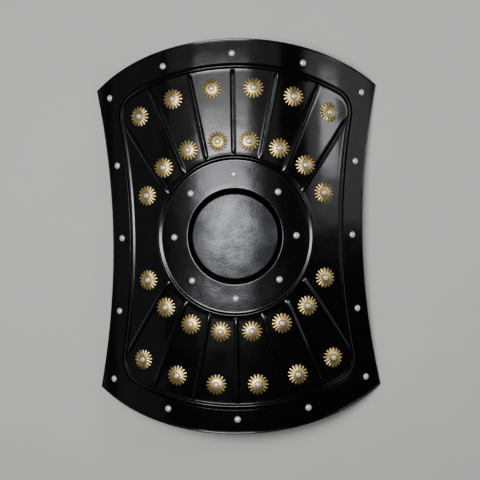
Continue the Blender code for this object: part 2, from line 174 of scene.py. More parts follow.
def quarter_columns():
    """Columns of the mesh from straight up to the side, each as its angle on the ring and on the frame."""
    half_bead = (0.0, *BEAD_STEPS)
    whole_bead = (*[-step for step in reversed(BEAD_STEPS)], *half_bead)
    columns = []
    for rib in range(RIBS_BESIDE_MIDDLE + 1):
        reach = FRAME.point(rib * RIB_OUTER_STEP).length
        for step in whole_bead if rib else half_bead:
            columns.append((rib * RIB_INNER_STEP + step / RING_RADIUS, rib * RIB_OUTER_STEP + step / reach))
        last = columns[-1]
        if rib < RIBS_BESIDE_MIDDLE:
            reach = FRAME.point((rib + 1) * RIB_OUTER_STEP).length
            ring = (rib + 1) * RIB_INNER_STEP - BEAD_HALF / RING_RADIUS
            outer = (rib + 1) * RIB_OUTER_STEP - BEAD_HALF / reach
            shares = [n / COLUMNS_PER_FIELD for n in range(1, COLUMNS_PER_FIELD)]
        else:
            ring = outer = pi / 2
            shares = [(n / COLUMNS_TO_SIDE) ** SIDE_CROWDING for n in range(1, COLUMNS_TO_SIDE + 1)]
        for share in shares:
            columns.append((last[0] + (ring - last[0]) * share, last[1] + (outer - last[1]) * share))
    return columns


def all_round(quarter):
    """Mirrors the angles of a quarter twice, clockwise from straight up."""
    half = quarter + [pi - angle for angle in reversed(quarter[:-1])]
    return half + [2 * pi - angle for angle in reversed(half[1:-1])]


QUARTER = quarter_columns()
RING_ANGLES = all_round([ring for ring, _ in QUARTER])
FRAME_ANGLES = all_round([outer for _, outer in QUARTER])


def circle(radius):
    return [Vector((radius * sin(angle), radius * cos(angle))) for angle in RING_ANGLES]


def run(outline, angles):
    return [outline.point(angle) for angle in angles]


def on_edge(inset):
    """A row on the outer edge moved in by this distance. Its corner takes the column of the last rib."""
    outline = edge_outline(inset)
    corner = outline.corner_angle()
    last = RIBS_BESIDE_MIDDLE * RIB_OUTER_STEP
    quarter = []
    for _, angle in QUARTER:
        if angle <= last:
            quarter.append(angle * corner / last)
        else:
            quarter.append(pi / 2 - (pi / 2 - angle) * (pi / 2 - corner) / (pi / 2 - last))
    return run(outline, all_round(quarter))


def between(first, last, shares):
    return [[a.lerp(b, share) for a, b in zip(first, last)] for share in shares]


def across_field(step, from_frame):
    """A row at a distance from the ring's crest or the frame's, on straight columns between the two."""
    row = []
    for start, end in zip(circle(RING_RADIUS), run(FRAME, FRAME_ANGLES)):
        low, high = 0.0, 1.0
        for _ in range(HALVINGS):
            share = (low + high) / 2
            place = start.lerp(end, share)
            if from_frame:
                beyond = FRAME.distance(place) < step
            else:
                beyond = place.length - RING_RADIUS > step
            low, high = (low, share) if beyond else (share, high)
        row.append(start.lerp(end, low))
    return row


def rib_lines():
    """Each rib of a quarter: its start, its way, and the two lengths between which its crest is level."""
    lines = []
    for rib in range(RIBS_BESIDE_MIDDLE + 1):
        inner = Vector((sin(rib * RIB_INNER_STEP), cos(rib * RIB_INNER_STEP))) * RING_RADIUS
        outer = FRAME.point(rib * RIB_OUTER_STEP)
        way = (outer - inner).normalized()
        centre, _, _ = FRAME.part(rib * RIB_OUTER_STEP)
        square = abs(way.dot((outer - centre).normalized()))
        lines.append((inner, way, RIB_END, (outer - inner).length - RIB_END / square))
    return lines


RIB_LINES = rib_lines()


def bead_height(place):
    """The beads' height over a place on the flat sheet: a round crest, straight flanks and a soft foot."""
    folded = Vector((abs(place.x), abs(place.y)))
    nearest = [abs(folded.length - RING_RADIUS), FRAME.distance(place)]
    for start, way, low, high in RIB_LINES:
        along = min(high, max(low, (folded - start).dot(way)))
        nearest.append((folded - start - way * along).length)
    fall = BEAD_HALF - (BEAD_CREST + BEAD_FOOT) / 2
    total = 0.0
    for distance in nearest:
        if distance < BEAD_CREST:
            drop = distance**2 / (2 * BEAD_CREST)
        elif distance < BEAD_HALF - BEAD_FOOT:
            drop = distance - BEAD_CREST / 2
        else:
            drop = fall - max(0.0, BEAD_HALF - distance) ** 2 / (2 * BEAD_FOOT)
        total += (1 - drop / fall) ** BEAD_JOIN
    return BEAD_HEIGHT * min(1.0, total ** (1 / BEAD_JOIN))


def bent(across, along, height):
    """Where a place on the flat sheet comes to once the sheet is bent."""
    turn = across / BEND_RADIUS
    reach = BEND_RADIUS + height
    return Vector((reach * sin(turn), along, reach * cos(turn) + LIFT))


def bend(bm):
    for vert in bm.verts:
        vert.co = bent(*vert.co)


def closed_band(rows):
    """A sheet that runs once round, from rows of as many points each."""
    columns = len(rows[0])
    bm = bmesh.new()
    bmesh.ops.create_grid(bm, x_segments=columns, y_segments=len(rows) - 1, size=0.5)
    for vert in bm.verts:
        column = round((vert.co.x + 0.5) * columns) % columns
        row = round((vert.co.y + 0.5) * (len(rows) - 1))
        vert.co = rows[row][column]
    bmesh.ops.remove_doubles(bm, verts=bm.verts[:], dist=WELD)
    return bm


def face_up(bm):
    bmesh.ops.recalc_face_normals(bm, faces=bm.faces[:])
    if sum(face.normal.z * face.calc_area() for face in bm.faces) < 0:
        bmesh.ops.reverse_faces(bm, faces=bm.faces[:])


def wall(bm, thickness):
    """Gives a bent sheet its thickness, towards its back."""
    face_up(bm)
    bm.normal_update()
    normals = {vert: vert.normal.copy() for vert in bm.verts}
    rims = [edge for edge in bm.edges if edge.is_boundary]
    copied = bmesh.ops.duplicate(bm, geom=bm.verts[:] + bm.edges[:] + bm.faces[:])
    behind = {vert: copied["vert_map"][vert] for vert in normals}
    for vert, normal in normals.items():
        behind[vert].co = vert.co - normal * thickness
    back = [item for item in copied["geom"] if isinstance(item, bmesh.types.BMFace)]
    bmesh.ops.reverse_faces(bm, faces=back)
    for edge in rims:
        a, b = edge.verts
        bm.faces.new((a, b, behind[b], behind[a]))
    bmesh.ops.recalc_face_normals(bm, faces=bm.faces[:])


def mark(bm, name, share):
    """Stores a share of each vertex's place, kept within 0 and 1, for a finish to read."""
    layer = bm.verts.layers.float.new(name)
    for vert in bm.verts:
        vert[layer] = min(1.0, max(0.0, share(vert.co)))


def finished(name, bm, material, replaced=(), sharp=40):
    """Makes a piece of the bmesh, riding on the shield."""
    mesh = bpy.data.meshes.new(name)
    bm.to_mesh(mesh)
    bm.free()
    mesh.shade_smooth()
    mesh.set_sharp_from_angle(angle=radians(sharp))
    mesh.materials.append(material)
    piece = bpy.data.objects.new(name, mesh)
    bpy.context.scene.collection.objects.link(piece)
    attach(piece, "root")
    if replaced:
        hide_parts(*replaced)
    return piece


class Reading:
    """A value or colour inside a finish. Python's operators on it add Math nodes."""

    def __init__(self, finish, socket):
        self.finish = finish
        self.socket = socket

    def math(self, operation, first, second):
        return self.finish.node("ShaderNodeMath", {"operation": operation}, [first, second])

    def __add__(self, other):
        return self.math("ADD", self, other)

    def __sub__(self, other):
        return self.math("SUBTRACT", self, other)

    def __rsub__(self, other):
        return self.math("SUBTRACT", other, self)

    def __mul__(self, other):
        return self.math("MULTIPLY", self, other)

    __radd__ = __add__
    __rmul__ = __mul__


class Finish:
    """A material, whose nodes are added one by one."""

    def __init__(self, name, **constants):
        self.material = bpy.data.materials.new(name)
        self.material.use_nodes = True
        self.tree = self.material.node_tree
        self.shader = self.tree.nodes["Principled BSDF"]
        self.place = self.node("ShaderNodeTexCoord", output="Object")
        self.give(**constants)

    def feed(self, socket, value):
        if isinstance(value, Reading):
            self.tree.links.new(value.socket, socket)
        else:
            socket.default_value = value

    def node(self, kind, settings=(), sockets=(), output=0):
        """Adds a node of any kind: its settings first, then the values or links of its sockets."""
        made = self.tree.nodes.new(kind)
        for name, value in dict(settings).items():
            setattr(made, name, value)
        pairs = sockets.items() if isinstance(sockets, dict) else enumerate(sockets)
        for key, value in pairs:
            self.feed(made.inputs[key], value)
        return Reading(self, made.outputs[output])

    def noise(self, scale, detail=3.0, place=None):
        sockets = {"Vector": place or self.place, "Scale": scale, "Detail": detail}
        return self.node("ShaderNodeTexNoise", (), sockets)

    def band(self, value, low, high):
        """0 below low and 1 above high, smooth between them. Low may be the larger."""
        ends = {"Value": value, "From Min": low, "From Max": high}
        return self.node("ShaderNodeMapRange", {"interpolation_type": "SMOOTHSTEP"}, ends)

    def mix(self, first, second, factor):
        return self.node("ShaderNodeMix", {"data_type": "RGBA"}, {0: factor, 6: first, 7: second}, output=2)

    def attribute(self, name):
        return self.node("ShaderNodeAttribute", {"attribute_name": name}, output="Fac")

    def bump(self, height, distance, normal=None):
        sockets = {"Height": height, "Distance": distance}
        if normal:
            sockets["Normal"] = normal
        return self.node("ShaderNodeBump", (), sockets, output="Normal")

    def give(self, **readings):
        for socket, value in readings.items():
            self.feed(self.shader.inputs[socket.replace("_", " ")], value)
        return self.material


def black_lacquer():
    """Lacquer over blackened steel: deep gloss, slow waves, a fine skin, dust pits, and crests turned
    paler, partly by wear and partly as a painted highlight along the beads.
    """
    finish = Finish("black_lacquer", Metallic=1.0)
    waves = finish.noise(11.0, 2.0)
    hide = finish.noise(170.0, 3.0)
    skin = finish.noise(520.0, 2.0)
    pits = finish.band(finish.noise(260.0, 0.0), 0.76, 0.80)
    haze = finish.noise(34.0, 5.0)
    # Paler crests: partly wear, partly a painted highlight along the beads and the rim.
    crest_wear_and_highlight = finish.attribute("crest") * finish.band(finish.noise(90.0, 4.0), 0.35, 0.75)
    colour = finish.mix(LACQUER, HAZED_LACQUER, haze)
    colour = finish.mix(colour, WORN_AND_HIGHLIT_CREST, crest_wear_and_highlight * 0.3)
    level = finish.bump(waves, 0.0008)
    level = finish.bump(hide, 0.00003, normal=level)
    level = finish.bump(skin - pits, 0.000015, normal=level)
    return finish.give(Base_Color=colour, Roughness=haze * 0.06 + 0.10 + crest_wear_and_highlight * 0.04, Normal=level)


def body_rows():
    inside = RING_RADIUS - BEAD_HALF - HOLE_RADIUS
    rows = [circle(HOLE_RADIUS + inside * n / ROWS_INSIDE_RING) for n in range(ROWS_INSIDE_RING)]
    rows += [circle(RING_RADIUS - step) for step in reversed(BEAD_STEPS)] + [circle(RING_RADIUS)]
    rows += [across_field(step, False) for step in BEAD_STEPS]
    frame_side = [across_field(step, True) for step in reversed(BEAD_STEPS)]
    rows += between(rows[-1], frame_side[0], [n / ROWS_PER_FIELD for n in range(1, ROWS_PER_FIELD)])
    rows += frame_side
    rows += [run(FRAME.offset(step), FRAME_ANGLES) for step in (0.0, *BEAD_STEPS)]
    edge = on_edge(SHEET + 2 * GAP)
    return rows + between(rows[-1], edge, [n / ROWS_TO_EDGE for n in range(1, ROWS_TO_EDGE + 1)])


bm = closed_band([[(*place, bead_height(place)) for place in row] for row in body_rows()])
# The crest share also drives the lacquer's paler crests, partly a painted highlight.
mark(bm, "crest", lambda place: place.z / BEAD_HEIGHT)
bend(bm)
wall(bm, SHEET)
lacquer = black_lacquer()
finished("main_sheet", bm, lacquer, ["body"], sharp=60)


# The border: a second band of the same sheet laid over the edge. Its rim is rolled up into a bead and
# turned down past the main sheet's edge.
BAND_TO_FRAME = 0.0065
BAND_LIP = 0.0002
BAND_SHARES = (0.008, 0.014, 0.25, 0.5, 0.75, 0.98)
RIM_WIDTH = 0.0045
RIM_RISE = 0.0010
RIM_DROP = 0.0006
RIM_FLANK = ((1.0, 0.0), (0.96, 0.03), (0.90, 0.14), (0.78, 0.44), (0.72, 0.58), (0.66, 0.66))
RIM_CREST = ((0.52, 0.77), (0.38, 0.86), (0.30, 0.88), (0.22, 0.80))
RIM_EDGE = ((0.15, 0.56), (0.10, 0.25), (0.07, 0.0))


def border_rows():
    inner = run(FRAME.offset(BAND_TO_FRAME), FRAME_ANGLES)
    rows = [(inner, FACE - BAND_LIP)]
    rows += [(row, FACE) for row in between(inner, on_edge(RIM_WIDTH), BAND_SHARES)]
    roll = RIM_FLANK + RIM_CREST + RIM_EDGE
    rows += [(on_edge(RIM_WIDTH * share), FACE + RIM_RISE * rise) for share, rise in roll]
    rows += [(on_edge(0), FACE - RIM_DROP), (on_edge(0), -FACE)]
    return [[(*place, height) for place in row] for row, height in rows]


bm = closed_band(border_rows())
mark(bm, "crest", lambda place: (place.z - FACE) / RIM_RISE)
bend(bm)
wall(bm, SHEET)
finished("border_band", bm, lacquer, ["border"])


# The boss plate: one disc of sheet spun with a deep groove and a low dome, over the hole in the main sheet.
# Its flange is lacquered like the rest, and the dome is bare steel, dulled and scuffed.
FLANGE_RADIUS = 0.1430
FLANGE_ROWS = (FLANGE_RADIUS - 0.0008, 0.1340, 0.1175, 0.1040, 0.0960)
FLANGE_EDGE = 0.0004
GROOVE_RADIUS = 0.0900
GROOVE_DEPTH = 0.0060
DOME_RADIUS = 0.0815
DOME_SHOULDER = 0.0030
CROWN_RADIUS = DOME_RADIUS - 0.0025
CROWN_SHARES = (1.0, 0.994, 0.988, 0.92, 0.84, 0.76, 0.68, 0.60, 0.52, 0.44, 0.36, 0.27, 0.18, 0.09, 0.0)
BOSS_SIDES = 160
FLANGE_BLACK = (0.025, 0.025, 0.026, 1.0)
LIP_GREY = (0.060, 0.060, 0.062, 1.0)
# Painted shade: the groove's near-black colour stands in for the dark inside it.
BOSS_GROOVE_SHADE = (0.0003, 0.0003, 0.0003, 1.0)
DOME_DARK = (0.054, 0.055, 0.058, 1.0)
DOME_PALE = (0.098, 0.099, 0.103, 1.0)
SCUFF_DARK = (0.045, 0.045, 0.047, 1.0)


def boss_profile():
    """Half of the plate's cut, as radius and height, from the flange's edge to the middle of the dome."""
    floor = FACE - GROOVE_DEPTH
    outer_wall = [
        (GROOVE_RADIUS + 0.0030, FACE + 0.0002),
        (GROOVE_RADIUS + 0.0018, FACE + 0.0002),
        (GROOVE_RADIUS + 0.0008, FACE - 0.0001),
        (GROOVE_RADIUS + 0.0001, FACE - 0.0010),
        (GROOVE_RADIUS - 0.0007, FACE - 0.0040),
        (GROOVE_RADIUS - 0.0016, floor + 0.0004),
        (GROOVE_RADIUS - 0.0028, floor),
    ]
    inner_wall = [
        (DOME_RADIUS + 0.0027, floor),
        (DOME_RADIUS + 0.0016, floor + 0.0005),
        (DOME_RADIUS + 0.0009, floor + 0.0020),
        (DOME_RADIUS + 0.0003, FACE + 0.0004),
        (DOME_RADIUS - 0.0002, FACE + 0.0018),
        (DOME_RADIUS - 0.0009, FACE + 0.0026),
        (DOME_RADIUS - 0.0019, FACE + 0.0031),
    ]
    fall = DOME_CROWN - DOME_SHOULDER
    radii = [CROWN_RADIUS * share for share in CROWN_SHARES]
    crown = [(radius, FACE + DOME_CROWN - fall * (radius / DOME_RADIUS) ** 2) for radius in radii]
    flange = [(FLANGE_RADIUS, FACE - FLANGE_EDGE), (FLANGE_RADIUS - FLANGE_EDGE, FACE)]
    flange += [(radius, FACE) for radius in FLANGE_ROWS]
    return flange + outer_wall + inner_wall + crown


def turned(profile, sides):
    """A profile, as radius and height, turned once round its own axis."""
    bm = bmesh.new()
    verts = [bm.verts.new((radius, 0, height)) for radius, height in profile]
    edges = [bm.edges.new(pair) for pair in zip(verts, verts[1:])]
    axis = {"axis": (0, 0, 1), "cent": (0, 0, 0), "angle": 2 * pi}
    bmesh.ops.spin(bm, geom=verts + edges, steps=sides, use_merge=True, **axis)
    bmesh.ops.remove_doubles(bm, verts=bm.verts[:], dist=WELD)
    bmesh.ops.recalc_face_normals(bm, faces=bm.faces[:])
    return bm


def boss_steel():
    """Lacquer on the flange, painted shade in the groove (a near-black colour), and brushed, scuffed bare
    steel on the dome.
    """
    finish = Finish("boss_steel", Metallic=1.0)
    across = finish.node("ShaderNodeVectorMath", {"operation": "MULTIPLY"}, [finish.place, (1.0, 1.0, 0.0)])
    radius = finish.node("ShaderNodeVectorMath", {"operation": "LENGTH"}, [across], output="Value")
    dome = finish.band(radius, DOME_RADIUS + 0.0010, DOME_RADIUS - 0.0012)
    groove = finish.band(radius, GROOVE_RADIUS + 0.0012, GROOVE_RADIUS - 0.0002)
    lip = finish.band(radius, GROOVE_RADIUS + 0.0140, GROOVE_RADIUS + 0.0020)
    lip *= finish.band(radius, GROOVE_RADIUS - 0.0005, GROOVE_RADIUS + 0.0010)
    cloud = finish.noise(26.0, 5.0)
    crinkle = finish.noise(240.0, 4.0)
    stroke = {0: finish.place, "Rotation": (0, 0, radians(40)), "Scale": (1.0, 0.22, 1.0)}
    strokes = finish.node("ShaderNodeMapping", {"vector_type": "TEXTURE"}, stroke)
    scuff = finish.band(finish.noise(60.0, 5.0, strokes), 0.54, 0.70) * finish.band(radius, 0.042, 0.012)
    bare = finish.mix(DOME_DARK, DOME_PALE, finish.band(cloud, 0.34, 0.66))
    bare = finish.mix(bare, SCUFF_DARK, scuff * 0.6)
    black = finish.mix(FLANGE_BLACK, LIP_GREY, lip * cloud)
    # Painted shade in the groove: near black.
    black = finish.mix(black, BOSS_GROOVE_SHADE, groove)
    level = finish.bump(finish.noise(13.0, 2.0), 0.0018)
    grain = (crinkle + cloud * 1.5) * (dome * 0.6 + 0.4)
    level = finish.bump(grain + scuff * 0.6, 0.00030, normal=level)
    return finish.give(
        Base_Color=finish.mix(black, bare, dome),
        Roughness=dome * 0.16 + cloud * 0.08 + 0.18,
        Normal=level,
    )


bm = turned(boss_profile(), BOSS_SIDES)
bend(bm)
wall(bm, SHEET)
finished("boss_plate", bm, boss_steel(), ["boss"], sharp=50)


# Silver rivets: sixteen through the border and eight through the boss plate, of plated steel with round
# heads. Their tails are peened over behind the main sheet, or behind the straps that four of them hold.
RIVET_RADIUS = 0.0063
RIVET_HEIGHT = 0.0042
RIVET_RIM = 0.0004
RIVET_SIDES = 28
HEAD_STEPS = 8
# Painted shade on the rivet heads starts this high.
SHADE_TOP = RIVET_HEIGHT * 0.75
SHANK_RADIUS = 0.0020
TAIL_RADIUS = 0.0040
TAIL_HEIGHT = 0.0016
TAIL_STEPS = 4
TAIL_CLEARANCE = 0.0007
STRAP_THICKNESS = 0.0030
HEAD_SEAT = FACE + GAP
SHORT_GRIP = HEAD_SEAT + SHEET + TAIL_CLEARANCE
SILVER = (0.92, 0.90, 0.88, 1.0)
DULL_SILVER = (0.70, 0.68, 0.66, 1.0)
HEAD_RIM_SHADE = (0.10, 0.10, 0.10, 1.0)


def flat_place(node):
    """Where a small CAD node stands on the flat sheet, from the middle of its points."""
    points = {tuple(round(value, 6) for value in vert.co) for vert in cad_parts[node].data.vertices}
    middle = sum((Vector(point) for point in points), Vector()) / len(points)
    return BEND_RADIUS * atan2(middle.x, middle.z - LIFT), middle.y


def seats(nodes, height):
    """The upright places of small pieces on the bent sheet, at this height over its face."""
    places = []
    for across, along in [flat_place(node) for node in nodes]:
        tilt = Matrix.Rotation(across / BEND_RADIUS, 4, "Y")
        places.append(Matrix.Translation(bent(across, along, height)) @ tilt)
    return places


def nodes_named(start):
    return sorted(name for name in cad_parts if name.startswith(start))


def set_at(stock, single, places):
    """Adds copies of a small shape at each place to a stock, and frees the shape."""
    pattern = bpy.data.meshes.new("pattern")
    single.to_mesh(pattern)
    single.free()
    for place in places:
        before = len(stock.verts)
        stock.from_mesh(pattern)
        stock.verts.ensure_lookup_table()
        bmesh.ops.transform(stock, matrix=place, verts=stock.verts[before:])
    bpy.data.meshes.remove(pattern)


def rounded(radius, height, steps):
    """The profile of a round head, as radius and height, from its top down to its rim."""
    turns = [pi / 2 * n / steps for n in range(steps + 1)]
    return [(radius * sin(turn), height * cos(turn)) for turn in turns]


# Painted shade: marks the low part of a head, which the silver finish turns grey.
def paint_foot_shade(bm, top, depth):
    mark(bm, "low", lambda place: ((top - place.z) / depth) ** 3)


def rivet(grip):
    """A rivet whose tail is peened over this far under its head."""
    head = rounded(RIVET_RADIUS, RIVET_HEIGHT, HEAD_STEPS)[:-1]
    rim = [(RIVET_RADIUS, RIVET_RIM), (RIVET_RADIUS, 0), (SHANK_RADIUS, 0), (SHANK_RADIUS, -grip)]
    tail = [(radius, -grip - height) for radius, height in rounded(TAIL_RADIUS, TAIL_HEIGHT, TAIL_STEPS)]
    bm = turned(head + rim + tail[::-1], RIVET_SIDES)
    paint_foot_shade(bm, SHADE_TOP, SHADE_TOP)
    return bm


def silver():
    """Polished rivet silver, with small knocks, and painted shade low on the head: grey towards its rim."""
    finish = Finish("rivet_silver", Metallic=0.5, IOR=1.5)
    film = finish.noise(190.0, 4.0)
    knocks = finish.noise(700.0, 2.0)
    colour = finish.mix(SILVER, DULL_SILVER, film * 0.5)
    # Painted shade: grey low on the head.
    colour = finish.mix(colour, HEAD_RIM_SHADE, finish.attribute("low"))
    return finish.give(Base_Color=colour, Roughness=film * 0.12 + 0.28, Normal=finish.bump(knocks, 0.00003))


border_names = nodes_named("border_rivet_")
boss_names = nodes_named("boss_rivet_")
rivet_silver = silver()
bm = bmesh.new()
set_at(bm, rivet(SHORT_GRIP), seats(border_names, HEAD_SEAT))
finished("border_rivets", bm, rivet_silver, border_names)

bm = bmesh.new()
set_at(bm, rivet(SHORT_GRIP), seats(boss_names[::2], HEAD_SEAT))
set_at(bm, rivet(SHORT_GRIP + STRAP_THICKNESS), seats(boss_names[1::2], HEAD_SEAT))
finished("boss_rivets", bm, rivet_silver, boss_names)


# Brass rosettes: stamped sunflowers of thin brass, domed to the middle, with sixteen fingers. Each is held
# by a small silver rivet in a dark collar, whose tail is peened over behind the main sheet.
PETALS = 16
ROSETTE_RADIUS = 0.0196
ROSETTE_VALLEY = 0.0147
ROSETTE_EDGE = 0.0009
ROSETTE_CROWN = 0.0040
ROSETTE_TURN = radians(7.0)
ROW_SHARES = (0.30, 0.36, 0.42, 0.48, 0.54, 0.60, 0.66, 0.74, 0.82, 0.89, 0.95, 1.0)
FINGER = 0.74
FINGER_ROUNDING = 2.4
FINGER_OFFSETS = (-1.0, -0.84, -FINGER, -0.68, -0.54, -0.28, 0.0, 0.28, 0.54, 0.68, FINGER, 0.84)
GROOVE_START = 0.0100
GROOVE_RUN = 0.0052
GROOVE_SHALLOW = 0.0001
GROOVE_DEEPER = 0.0014
GROOVE_HALF = 0.85
COLLAR_RADIUS = 0.0066
COLLAR_LIP = 0.0012
COLLAR_PROFILE = (
    (0.0, 0.0040),
    (COLLAR_RADIUS - COLLAR_LIP, 0.0040),
    (COLLAR_RADIUS, 0.0049),
    (COLLAR_RADIUS, 0.0010),
    (0.0, 0.0010),
)
PIN_RADIUS = 0.0055
PIN_SEAT = 0.0038
PIN_RISE = 0.0027
PIN_FOOT = 0.0030
# Painted shade on the pin heads: where it starts and how deep it runs.
PIN_SHADE_TOP = 0.0048
PIN_SHADE_DEPTH = 0.0016
PIN_SIDES = 24
PIN_STEPS = 6
PIN_TAIL_SIDES = 12
PIN_TAIL = ((0.0, 0.0), (0.0030, 0.0), (0.0028, -0.0007), (0.0018, -0.0012), (0.0, -0.0014))
YELLOW_BRASS = (0.80, 0.64, 0.25, 1.0)
RED_BRASS = (0.80, 0.57, 0.24, 1.0)
TARNISH = (0.36, 0.27, 0.08, 1.0)
# Painted shade for the grooves between the fingers.
FINGER_GROOVE_SHADE = (0.07, 0.050, 0.014, 1.0)
COLLAR_DEEP_BROWN = (0.080, 0.048, 0.022, 1.0)
COLLAR_FLECK_BROWN = (0.220, 0.140, 0.065, 1.0)


def grooved(radius):
    """How far the grooves between the fingers have come in at a radius, from 0 to 1."""
    return min(1.0, max(0.0, (radius - GROOVE_START) / GROOVE_RUN))


def groove_share(place):
    phase = atan2(place.x, place.y) * PETALS / (2 * pi)
    return abs(phase - round(phase)) * 2 * grooved(place.xy.length)


def rosette_rows():
    """Rings of points whose outer ones run out into fingers, with a groove between each two."""
    rows = []
    for share in ROW_SHARES:
        row = []
        for petal in range(PETALS):
            for offset in FINGER_OFFSETS:
                angle = 2 * pi * (petal + offset / 2) / PETALS
                round_tip = sqrt(max(0.0, 1 - (abs(offset) / FINGER) ** FINGER_ROUNDING))
                limit = ROSETTE_VALLEY + (ROSETTE_RADIUS - ROSETTE_VALLEY) * round_tip
                radius = min(ROSETTE_RADIUS * share, limit)
                height = ROSETTE_EDGE + ROSETTE_CROWN * (1 - (radius / ROSETTE_RADIUS) ** 2)
                depth = GROOVE_SHALLOW + GROOVE_DEEPER * grooved(radius)
                height -= depth * min(1.0, abs(offset) / GROOVE_HALF) ** 2
                row.append(Vector((radius * sin(angle), radius * cos(angle), height)))
        rows.append(row)
    return rows


def rosette():
    bm = closed_band(rosette_rows())
    mark(bm, "groove", groove_share)
    face_up(bm)
    rim = [edge for edge in bm.edges if edge.is_boundary]
    skirt = bmesh.ops.extrude_edge_only(bm, edges=rim)["geom"]
    for item in skirt:
        if isinstance(item, bmesh.types.BMVert):
            item.co.z = 0.0
    return bm


def brass():
    """Old brass: yellow on the ridges, with blotches of tarnish, and painted shade in the grooves between
    the fingers, dark brown there.
    """
    finish = Finish("old_brass", Metallic=1.0)
    blotch = finish.noise(120.0, 4.0)
    hue = finish.noise(38.0, 2.0)
    groove = finish.attribute("groove")
    colour = finish.mix(YELLOW_BRASS, RED_BRASS, finish.band(hue, 0.40, 0.62))
    colour = finish.mix(colour, TARNISH, finish.band(blotch, 0.48, 0.72) * 0.6)
    # Painted shade: the grooves between the fingers turn dark brown.
    colour = finish.mix(colour, FINGER_GROOVE_SHADE, finish.band(groove, 0.45, 0.90))
    hammered = finish.noise(520.0, 3.0)
    return finish.give(
        Base_Color=colour,
        Roughness=blotch * 0.2 + 0.24 + groove * 0.15,
        Normal=finish.bump(hammered, 0.00022),
    )


def dark_collar_finish():
    """The sunk collar round the rivet: dark brown, with paler flecks."""
    finish = Finish("dark_collar_finish", Metallic=1.0)
    film = finish.noise(600.0, 3.0)
    return finish.give(Base_Color=finish.mix(COLLAR_DEEP_BROWN, COLLAR_FLECK_BROWN, film), Roughness=film * 0.2 + 0.45)


rosette_names = nodes_named("rosette_")
rosette_seats = seats(rosette_names, GAP)
turns = [Matrix.Rotation(ROSETTE_TURN * n, 4, "Z") for n in range(len(rosette_seats))]
bm = bmesh.new()
set_at(bm, rosette(), [place @ turn for place, turn in zip(rosette_seats, turns)])
finished("rosette_caps", bm, brass(), rosette_names, sharp=60)

bm = bmesh.new()
set_at(bm, turned(COLLAR_PROFILE, PIN_SIDES), rosette_seats)
finished("rosette_collars", bm, dark_collar_finish())

bm = bmesh.new()
head = [(radius, PIN_SEAT + height) for radius, height in rounded(PIN_RADIUS, PIN_RISE, PIN_STEPS)]
single = turned(head + [(PIN_RADIUS, PIN_FOOT), (0.0, PIN_FOOT)], PIN_SIDES)
paint_foot_shade(single, PIN_SHADE_TOP, PIN_SHADE_DEPTH)
set_at(bm, single, rosette_seats)
finished("rosette_rivets", bm, rivet_silver)

bm = bmesh.new()
behind = Matrix.Translation((0, 0, -SHEET - GAP))
set_at(bm, turned(PIN_TAIL, PIN_TAIL_SIDES), [place @ behind for place in rosette_seats])
finished("rosette_tails", bm, rivet_silver)


# Two loops of saddle leather behind the shield, one for the forearm and one for the hand. Each is stitched
# along both edges and held by two boss rivets.
STRAP_WIDTH = 0.028
STRAP_SAG = 0.060
STRAP_BOW = 1.5
STRAP_TAB = 0.012
STRAP_STEPS = 44
BOSS_RIVET_RADIUS = 0.1175
BACK_EDGE = ((0.0, -0.0012), (0.0, -0.0018), (0.0007, -0.0027), (0.0016, -STRAP_THICKNESS))
FRONT_EDGE = ((0.0006, -0.0004), (0.0014, 0.0))
PALE_WIDTH = 0.0016
PALE_RUN = 0.0014
STITCH_SIZE = (0.0005, 0.0017, 0.0004)
STITCH_START = 0.004
STITCH_PITCH = 0.0055
STITCH_TO_EDGE = 0.0034
STITCH_PROUD = 0.0001
STITCH_WALK = 400
DARK_LEATHER = (0.050, 0.026, 0.013, 1.0)
BROWN_LEATHER = (0.115, 0.062, 0.030, 1.0)
CUT_LEATHER = (0.20, 0.125, 0.070, 1.0)
DARK_THREAD = (0.34, 0.27, 0.17, 1.0)
PALE_THREAD = (0.50, 0.42, 0.29, 1.0)


def strap_path(steps):
    """The face of the loop that lies against the shield, as along and height, from tab to tab."""
    fixed = BOSS_RIVET_RADIUS * cos(pi / 4)
    free = fixed - STRAP_TAB
    back = -SHEET - GAP
    path = [(fixed + STRAP_TAB * share, back) for share in (1.0, 0.5, 0.0, -0.5)]
    tab = [(-along, height) for along, height in reversed(path)]
    for n in range(steps + 1):
        turn = pi * n / steps
        path.append((free * cos(turn), back - STRAP_SAG * abs(sin(turn)) ** STRAP_BOW))
    return path + tab


def way_and_out(path, n):
    """The way of a strap's path at a point, and square to it, towards the shield."""
    before = path[max(0, n - 1)]
    after = path[min(len(path) - 1, n + 1)]
    way = Vector((after[0] - before[0], after[1] - before[1])).normalized()
    out = Vector((-way.y, way.x))
    return way, out if out.y >= 0 else -out


def strap_section():
    """The cut through a strap, as across and depth, with rounded edges."""
    half = STRAP_WIDTH / 2
    thirds = [half * n / 3 for n in (-2, -1, 0, 1, 2)]
    back = [(inset - half, depth) for inset, depth in BACK_EDGE]
    front = [(half - inset, depth) for inset, depth in FRONT_EDGE]
    section = back + [(across, -STRAP_THICKNESS) for across in thirds]
    section += [(-across, depth) for across, depth in reversed(back)]
    section += front + [(-across, 0.0) for across in thirds]
    return section + [(-across, depth) for across, depth in reversed(front)]


def strap(middle):
    """A closed strap with its middle this far across the shield, still flat across."""
    path = strap_path(STRAP_STEPS)
    rows = []
    for n, (along, height) in enumerate(path):
        _, out = way_and_out(path, n)
        rows.append([(middle + x, along + out.x * z, height + out.y * z) for x, z in strap_section()])
    bm = closed_band(rows)
    pale = STRAP_WIDTH / 2 - PALE_WIDTH
    mark(bm, "edge", lambda place: (abs(place.x - middle) - pale) / PALE_RUN)
    ends = [edge for edge in bm.edges if edge.is_boundary]
    bmesh.ops.holes_fill(bm, edges=ends, sides=0)
    bmesh.ops.recalc_face_normals(bm, faces=bm.faces[:])
    return bm


